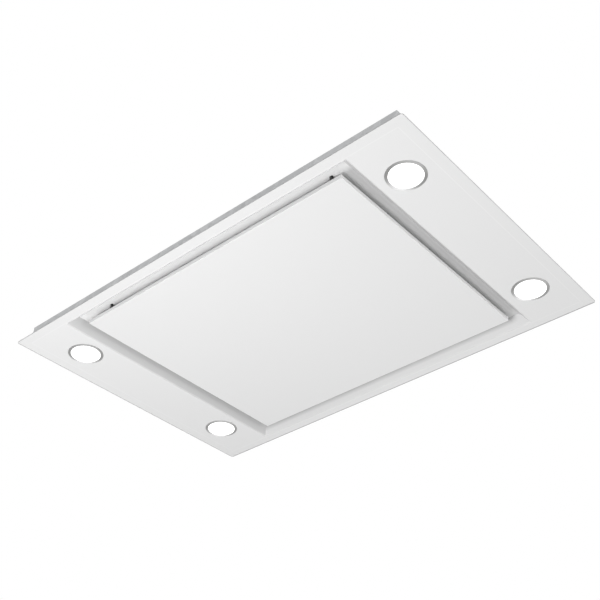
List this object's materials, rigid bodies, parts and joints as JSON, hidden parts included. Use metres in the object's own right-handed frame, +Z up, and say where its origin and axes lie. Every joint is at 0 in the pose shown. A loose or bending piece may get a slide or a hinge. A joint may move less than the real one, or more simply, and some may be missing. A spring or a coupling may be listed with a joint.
{
  "type": "ceiling range hood",
  "caption": "Flush ceiling range hood: white frame with a hinged perimeter suction panel, round lamps, grease filters, centrifugal fan and side duct outlet with damper.",
  "frame": {"origin": "middle of the frame in plan, at the height of the lamp rings' lowest point, 1.2 mm under the frame's visible face", "axes": "+X along the long side, +Y from the catch side to the hinge and duct side, +Z up into the ceiling"},
  "size_m": [0.9, 0.595, 0.2392],
  "materials": {
    "white_enamel": "satin white enamel on sheet steel",
    "galvanised_sheet": "galvanised sheet steel",
    "zinc_steel": "zinc plated steel",
    "spring_steel": "bare spring steel",
    "rivet_steel": "plain steel rivets",
    "black_plastic": "black moulded plastic",
    "magnet": "sintered ferrite magnet",
    "aluminium_channel": "bright rolled aluminium",
    "aluminium_mesh": "expanded aluminium mesh",
    "satin_nickel": "satin nickel plated turned ring",
    "lit_lens": "frosted lens, lit white",
    "cast_aluminium": "die cast aluminium",
    "fan_plastic": "dark grey moulded plastic",
    "wheel_plastic": "slate grey moulded plastic",
    "rubber_mount": "soft black rubber",
    "foam_seal": "closed cell foam",
    "stator_steel": "laminated steel with copper windings",
    "shaft_steel": "ground steel",
    "box_plastic": "grey moulded plastic",
    "circuit_board": "green laminate with black parts",
    "white_plastic": "white moulded plastic"
  },
  "bodies": {
    "hood": {"fascia_frame": "white_enamel", "casing": "galvanised_sheet", "plenum_foot": "galvanised_sheet", "plenum_box": "galvanised_sheet", "plenum_top": "galvanised_sheet", "motor_housing": "galvanised_sheet", "housing_top": "galvanised_sheet", "hinge_brackets": "zinc_steel", "hinge_pins": "zinc_steel", "hangers": "zinc_steel", "motor_plate": "zinc_steel", "pan_screws": "zinc_steel", "damper_spindle": "zinc_steel", "lamp_clips": "spring_steel", "damper_spring": "spring_steel", "ledge_rivets": "rivet_steel", "catch_cases": "black_plastic", "latch_cases": "black_plastic", "cable_gland": "black_plastic", "catch_magnets": "magnet", "filter_frame_left": "aluminium_channel", "filter_frame_right": "aluminium_channel", "filter_mesh_left": "aluminium_mesh", "filter_mesh_right": "aluminium_mesh", "lamp_ring_near_left": "satin_nickel", "lamp_ring_near_right": "satin_nickel", "lamp_ring_far_left": "satin_nickel", "lamp_ring_far_right": "satin_nickel", "lamp_lens_near_left": "lit_lens", "lamp_lens_near_right": "lit_lens", "lamp_lens_far_left": "lit_lens", "lamp_lens_far_right": "lit_lens", "lamp_bodies": "cast_aluminium", "motor_case": "cast_aluminium", "fan_scroll": "fan_plastic", "scroll_cover": "fan_plastic", "inlet_ring": "fan_plastic", "outlet_collar": "fan_plastic", "scroll_feet": "rubber_mount", "motor_bushes": "rubber_mount", "outlet_seal": "foam_seal", "motor_stator": "stator_steel", "motor_bearings": "shaft_steel", "control_box": "box_plastic", "control_lid": "box_plastic", "control_board": "circuit_board", "terminal_block": "white_plastic", "motor_capacitor": "white_plastic"},
    "panel": {"panel_skin": "white_enamel", "panel_pan": "white_enamel", "hinge_arm_left": "zinc_steel", "hinge_arm_right": "zinc_steel", "catch_posts": "black_plastic", "panel_rivets": "rivet_steel"},
    "latch_left": {"filter_latch_left": "black_plastic"},
    "latch_right": {"filter_latch_right": "black_plastic"},
    "wheel": {"fan_wheel": "wheel_plastic", "motor_shaft": "shaft_steel"},
    "flap_left": {"damper_flap_left": "fan_plastic"},
    "flap_right": {"damper_flap_right": "fan_plastic"}
  },
  "joints": [
    {"name": "panel_hinge", "type": "hinge", "parent": "hood", "child": "panel", "pos_m": [0, 0.2512, 0.0129], "axis": [1, 0, 0], "range_deg": [0, 90]},
    {"name": "latch_left_slide", "type": "slide", "parent": "hood", "child": "latch_left", "axis": [0, 1, 0], "range_m": [0, 0.008], "stiffness_N_per_m": 300, "springref_m": -0.01},
    {"name": "latch_right_slide", "type": "slide", "parent": "hood", "child": "latch_right", "axis": [0, 1, 0], "range_m": [0, 0.008], "stiffness_N_per_m": 300, "springref_m": -0.01},
    {"name": "fan_spin", "type": "hinge", "parent": "hood", "child": "wheel", "pos_m": [-0.09635, 0.05768, 0.16], "axis": [0, 0, 1], "continuous": true},
    {"name": "flap_left_hinge", "type": "hinge", "parent": "hood", "child": "flap_left", "pos_m": [0, 0.2319, 0.1592], "axis": [0, 0, -1], "range_deg": [0, 75], "stiffness_Nm_per_rad": 0.02, "springref_deg": -22.92},
    {"name": "flap_right_hinge", "type": "hinge", "parent": "hood", "child": "flap_right", "pos_m": [0, 0.2319, 0.1592], "axis": [0, 0, 1], "range_deg": [0, 75], "stiffness_Nm_per_rad": 0.02, "springref_deg": -22.92}
  ]
}
